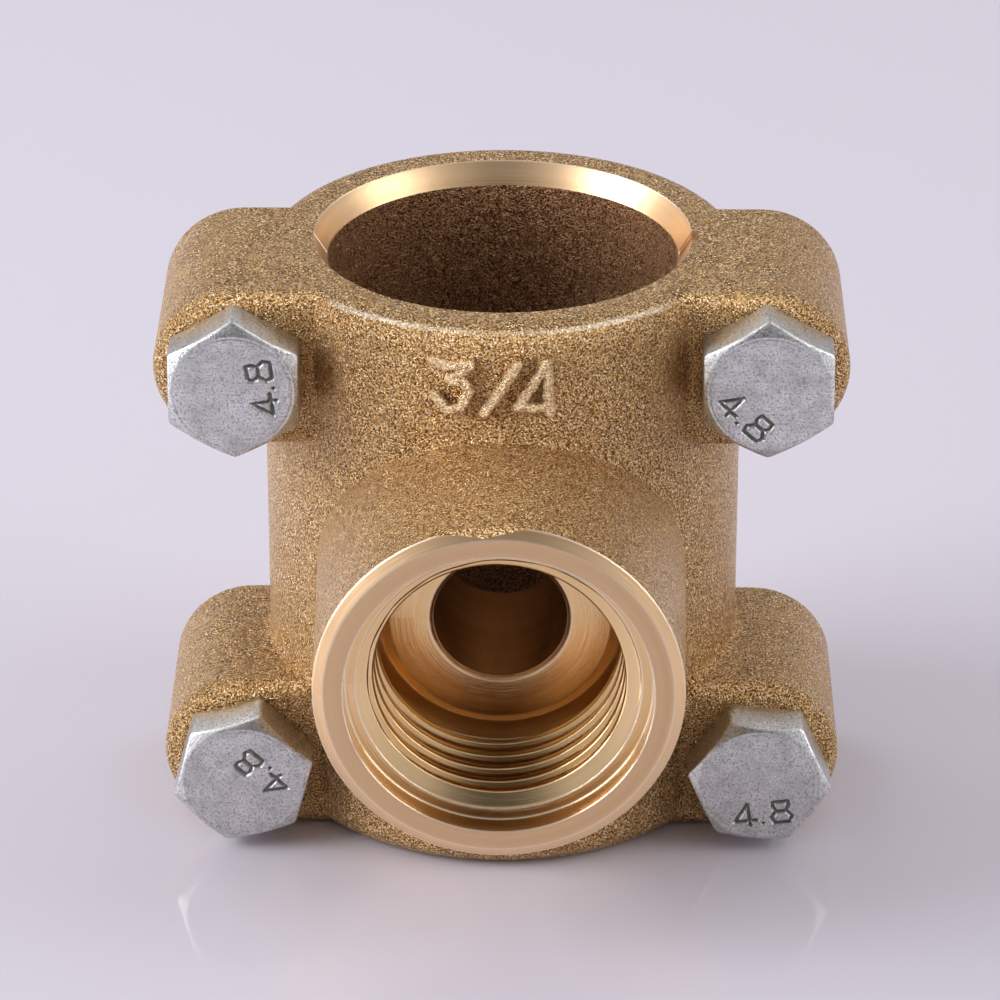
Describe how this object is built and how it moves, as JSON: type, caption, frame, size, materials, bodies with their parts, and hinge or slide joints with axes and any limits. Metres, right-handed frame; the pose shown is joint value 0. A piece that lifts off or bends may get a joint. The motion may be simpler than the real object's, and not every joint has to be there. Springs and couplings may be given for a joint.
{
  "type": "mechanical tee",
  "caption": "Cast brass pipe saddle in two halves, bolted round a pipe with hex bolts, with an internally threaded round branch on the front half.",
  "frame": {"origin": "where the pipe axis crosses the branch axis, at mid-height, on the plane midway between the two halves", "axes": "+Z along the pipe passage, upwards as the tee stands on its end; -Y out of the branch, towards the front; +X to the right seen from the front"},
  "size_m": [0.0526, 0.05, 0.046],
  "materials": {
    "cast_brass": "sand-blasted casting, turned bright at the pipe lead-ins and inside the branch",
    "zinc_steel": "zinc-plated, dull, with small dark specks",
    "seal_rubber": "smooth black rubber"
  },
  "bodies": {
    "root": {"front_saddle": "cast_brass", "rear_strap": "cast_brass", "outlet_seal": "seal_rubber", "bolt_upper_left": "zinc_steel", "bolt_upper_right": "zinc_steel", "bolt_lower_left": "zinc_steel", "bolt_lower_right": "zinc_steel"}
  },
  "joints": []
}
